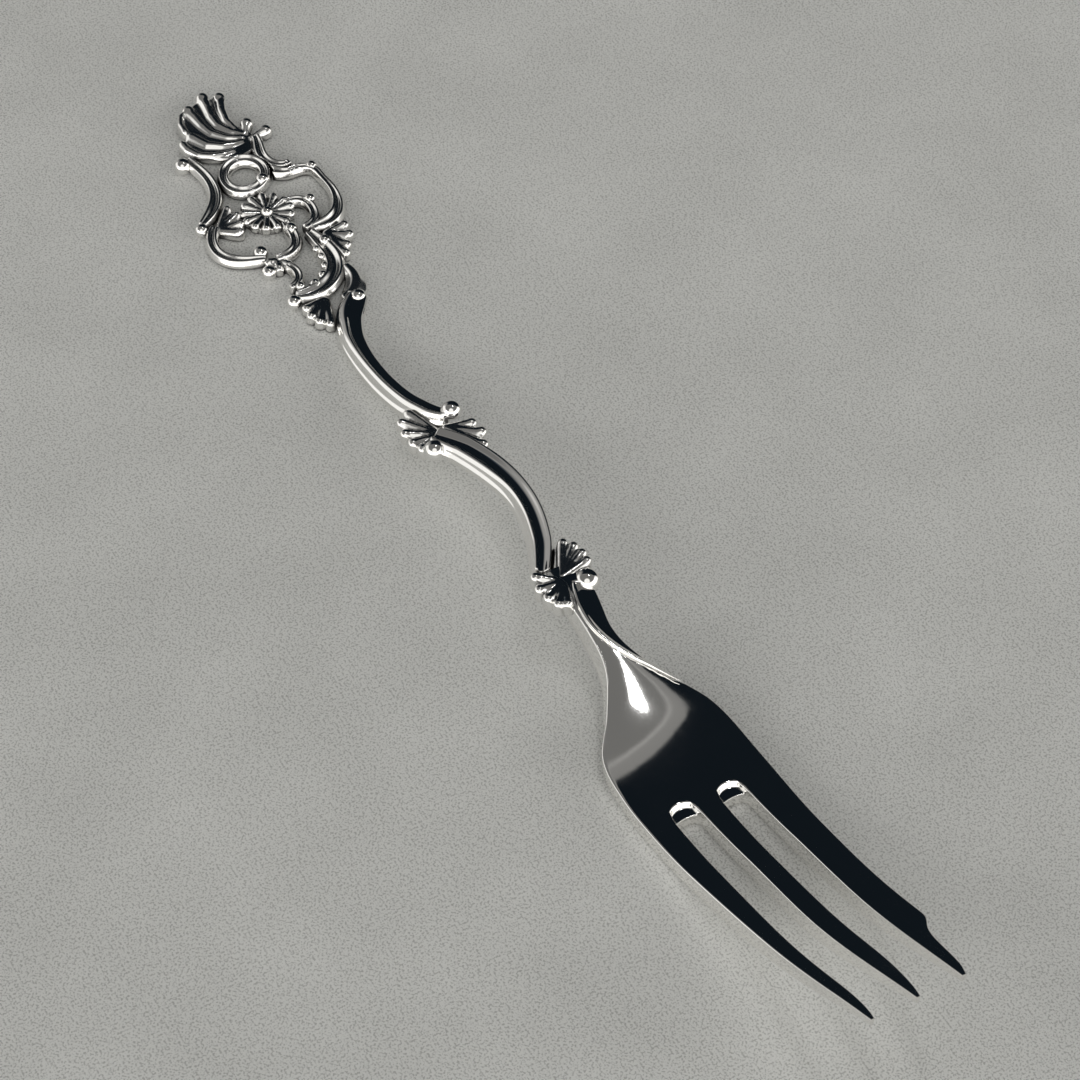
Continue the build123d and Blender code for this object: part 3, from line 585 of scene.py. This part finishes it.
def cast_copy(node):
    """Copy of a solid with a fine even skin and rounded edges."""
    mesh = bmesh.new()
    mesh.from_mesh(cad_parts[node].data)
    bmesh.ops.remove_doubles(mesh, verts=mesh.verts, dist=WELD)
    mesh.transform(Matrix.Scale(1 / MM, 4))
    if node in LOBE_HEADS:
        add_heads(mesh, *LOBE_HEADS[node])
    rough = new_piece(node + "_rough", mesh)
    skin = rough.modifiers.new("skin", "REMESH")
    skin.mode = "VOXEL"
    skin.voxel_size = SKIN_STEP
    data = bpy.data.meshes.new_from_object(rough.evaluated_get(bpy.context.evaluated_depsgraph_get()))
    bpy.data.objects.remove(rough)
    mesh = bmesh.new()
    mesh.from_mesh(data)
    bpy.data.meshes.remove(data)
    for _ in range(SHELL_PASSES if node in LOBE_HEADS else WHEEL_PASSES):
        bmesh.ops.smooth_vert(mesh, verts=mesh.verts, factor=WHEEL_FACTOR,
                              use_axis_x=True, use_axis_y=True, use_axis_z=True)
    mesh.normal_update()
    for vert in mesh.verts:
        vert.co += vert.normal * SWELL
    mesh.transform(Matrix.Scale(MM, 4))
    if node == "waist_shell_left":
        bmesh.ops.translate(mesh, verts=mesh.verts, vec=(0, 0, -WAIST_SINK * MM))
    if node == "ring_scroll":
        low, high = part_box(node)
        middle = Matrix.Translation((low + high) / 2)
        mesh.transform(middle @ Matrix.Scale(RING_SQUEEZE, 4, RING_ACROSS) @ middle.inverted())
    bent_up(mesh)
    kept_inside(mesh)
    return new_piece(node + "_cast", mesh)


for node in CAST_NODES:
    fitted(cast_copy(node), node, cast)
fitted(cast_copy("base_scroll_pearls"), "base_scroll_pearls", polished)


# Beads
# Small round-headed drops that close the ends of the scrolls, the boss of the rosette and the roll
# at the top of the stem. Each is turned with a stalk and soldered into its scroll.
BEAD_NODES = [
    "right_scroll_bead", "ring_bead", "left_shoulder_upper_bead", "left_shoulder_lower_bead",
    "left_lower_bead", "inner_right_bead", "strap_bead", "link_bead", "link_drop_bead",
    "base_scroll_start_bead", "base_scroll_end_bead", "upper_stem_roll", "upper_stem_bead",
    "lower_stem_bead", "shoulder_scroll_bead", "rosette_centre",
]
BEAD_SIDES = 40
BEAD_RINGS = 24
PLAIN_SWELL = 1.1
BEAD_SWELL = {
    "upper_stem_bead": 1.2, "lower_stem_bead": 1.25, "left_shoulder_upper_bead": 1.3, "ring_bead": 1.25,
    "left_lower_bead": 1.2,
}


def bead(node):
    """Round head over a stalk that draws in to its foot."""
    low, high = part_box(node)
    radius = (high.x - low.x) / 2
    centre = Vector(((low.x + high.x) / 2, (low.y + high.y) / 2, high.z - radius))
    radius *= BEAD_SWELL.get(node, PLAIN_SWELL)
    mesh = bmesh.new()
    bmesh.ops.create_uvsphere(mesh, u_segments=BEAD_SIDES, v_segments=BEAD_RINGS, radius=radius)
    for vert in mesh.verts:
        if vert.co.z < 0:
            vert.co.z *= (centre.z - low.z) / radius
    bmesh.ops.translate(mesh, verts=mesh.verts, vec=centre)
    bent_up(mesh)
    kept_inside(mesh)
    return new_piece(node + "_drop", mesh)


for node in BEAD_NODES:
    fitted(bead(node), node, polished)


# Table, light and camera
# A plain pale table under a soft room light: bright behind the camera, grey overhead and dark beyond
# the fork, which is what a mirror of silver needs to show its form.
TABLE_SIZE = 2.0
TABLE_GAP = 0.02
STONE_ROUGHNESS = 0.6
STONE_DARK = (0.4, 0.4, 0.385, 1.0)
STONE_LIGHT = (0.92, 0.925, 0.9, 1.0)
STONE_CLOUDS = 60.0
STONE_GRAIN = 4600.0
CLOUD_SHARE = 0.4
GRAIN_RANGE = (0.34, 0.54, 0.0, 0.6)
floor_mesh = bmesh.new()
bmesh.ops.create_grid(floor_mesh, x_segments=1, y_segments=1, size=TABLE_SIZE)
bmesh.ops.translate(floor_mesh, verts=floor_mesh.verts, vec=(0, 0, cad_low.z - TABLE_GAP * MM))
floor = new_piece("table_top", floor_mesh)
stone = bpy.data.materials.new("pale_stone")
stone.use_nodes = True
stone_tree = stone.node_tree
stone_shader = stone_tree.nodes["Principled BSDF"]
stone_shader.inputs["Roughness"].default_value = STONE_ROUGHNESS
stone_tone = stone_tree.nodes.new("ShaderNodeMix")
stone_tone.data_type = "RGBA"
stone_tone.inputs["A"].default_value = STONE_DARK
stone_tone.inputs["B"].default_value = STONE_LIGHT
stone_noise = texture(stone_tree, STONE_CLOUDS, detail=8.0)
stone_clouds = reckon(stone_tree, "MULTIPLY", stone_noise, CLOUD_SHARE)
stone_grain = ranged(stone_tree, texture(stone_tree, STONE_GRAIN, detail=3.0), *GRAIN_RANGE)
stone_tree.links.new(reckon(stone_tree, "ADD", stone_clouds, stone_grain), stone_tone.inputs["Factor"])
stone_tree.links.new(stone_tone.outputs["Result"], stone_shader.inputs["Base Color"])
floor.data.materials.append(stone)

TARGET = Vector((3.55, 2.91, 0.0)) * MM
CAMERA_DISTANCE = 327.5 * MM
CAMERA_AZIMUTH = radians(61.0)
CAMERA_ELEVATION = radians(47.5)
LENS = 106.67
SENSOR_WIDTH = 36.0
CLIP_START = 0.01
raised = Matrix.Rotation(-CAMERA_ELEVATION, 3, "X") @ Vector((0, -1, 0))
toward = Matrix.Rotation(CAMERA_AZIMUTH, 3, "Z") @ raised
camera = bpy.data.objects.new("camera", bpy.data.cameras.new("camera"))
camera.data.lens = LENS
camera.data.sensor_width = SENSOR_WIDTH
camera.data.clip_start = CLIP_START
camera.location = TARGET + toward * CAMERA_DISTANCE
camera.rotation_mode = "QUATERNION"
camera.rotation_quaternion = toward.to_track_quat("Z", "Y")
scene.collection.objects.link(camera)
scene.camera = camera

UP = (0, 0, 1)
NEAR_LIGHT = 2.0
NEAR_RANGE = (0.0, 0.5)
SIDE_LIGHT = 1.0
SIDE_DIRECTION = (-0.45, -0.893, 0.0)
SIDE_RANGE = (0.6, 0.85)
RIGHT_LIGHT = 1.6
RIGHT_DIRECTION = (0.72, 0.694, 0.0)
LOW_RANGE = (0.42, 0.62)
WALL_LIGHT = 0.3
WALL_DIRECTION = (-0.851, -0.5, 0.16)
WALL_RANGE = (0.75, 0.95)
WINDOW_LIGHT = 1.0
WINDOW_RANGE = (0.88, 0.95)
CEILING_DIRECTION = (0.847, -0.533, 0.0)
COVING_LIGHT = 0.21
COVING_LINE = 0.12
CEILING_LIGHT = 0.15
COVING_START = (-0.387, -0.378)
LINE_START = (-0.332, -0.322)
CEILING_START = (-0.322, -0.305)
OVERHEAD_RANGE = (0.35, 0.55)
FAR_LIGHT = 0.007
SHADE_LIMIT = 0.1
ROOM_COLOUR = (1.0, 0.99, 0.96, 1.0)
SHADE_COLOUR = (0.75, 1.15, 1.6, 1.0)
world = bpy.data.worlds.new("room")
world.use_nodes = True
scene.world = world
room = world.node_tree
place = room.nodes.new("ShaderNodeTexCoord")


def glow_from(direction, start, full, strength):
    """Light of the room that comes from one side."""
    facing = room.nodes.new("ShaderNodeVectorMath")
    facing.operation = "DOT_PRODUCT"
    facing.inputs[1].default_value = direction
    room.links.new(place.outputs["Generated"], facing.inputs[0])
    return ranged(room, facing.outputs["Value"], start, full, 0.0, strength)


near = glow_from(Vector((toward.x, toward.y, 0)).normalized(), *NEAR_RANGE, NEAR_LIGHT)
side = reckon(room, "MAXIMUM", glow_from(SIDE_DIRECTION, *SIDE_RANGE, SIDE_LIGHT),
              glow_from(RIGHT_DIRECTION, *SIDE_RANGE, RIGHT_LIGHT))
below = reckon(room, "SUBTRACT", 1.0, glow_from(UP, *LOW_RANGE, 1.0))
low_light = reckon(room, "MULTIPLY", reckon(room, "MAXIMUM", near, side), below)
wall_light = reckon(room, "MAXIMUM", low_light, glow_from(WALL_DIRECTION, *WALL_RANGE, WALL_LIGHT))
walls = reckon(room, "MAXIMUM", wall_light, glow_from(toward, *WINDOW_RANGE, WINDOW_LIGHT))
coving = reckon(room, "ADD", glow_from(CEILING_DIRECTION, *COVING_START, COVING_LIGHT),
                glow_from(CEILING_DIRECTION, *LINE_START, COVING_LINE))
coving_fall = COVING_LIGHT + COVING_LINE - CEILING_LIGHT
ceiling = reckon(room, "SUBTRACT", coving, glow_from(CEILING_DIRECTION, *CEILING_START, coving_fall))
overhead = reckon(room, "MULTIPLY", ceiling, glow_from(UP, *OVERHEAD_RANGE, 1.0))
glow = reckon(room, "ADD", reckon(room, "MAXIMUM", walls, overhead), FAR_LIGHT)
air = room.nodes.new("ShaderNodeMix")
air.data_type = "RGBA"
air.inputs["A"].default_value = SHADE_COLOUR
air.inputs["B"].default_value = ROOM_COLOUR
room.links.new(ranged(room, glow, FAR_LIGHT, SHADE_LIMIT), air.inputs["Factor"])
room.links.new(air.outputs["Result"], room.nodes["Background"].inputs["Color"])
room.links.new(glow, room.nodes["Background"].inputs["Strength"])

LAMP_DIRECTION = Vector((-0.048, 0.28, 0.958)).normalized()
LAMP_DISTANCE = 0.8
LAMP_AIM = Vector((29.0, -1.0, 4.0)) * MM
LAMP_WIDTH = 0.06
LAMP_LENGTH = 0.072
LAMP_POWER = 0.25
lamp = bpy.data.objects.new("ceiling_lamp", bpy.data.lights.new("ceiling_lamp", "AREA"))
lamp.data.shape = "RECTANGLE"
lamp.data.size = LAMP_WIDTH
lamp.data.size_y = LAMP_LENGTH
lamp.data.energy = LAMP_POWER
lamp.location = LAMP_AIM + LAMP_DIRECTION * LAMP_DISTANCE
lamp.rotation_mode = "QUATERNION"
lamp.rotation_quaternion = LAMP_DIRECTION.to_track_quat("Z", "Y")
scene.collection.objects.link(lamp)
scene.view_settings.view_transform = "Standard"
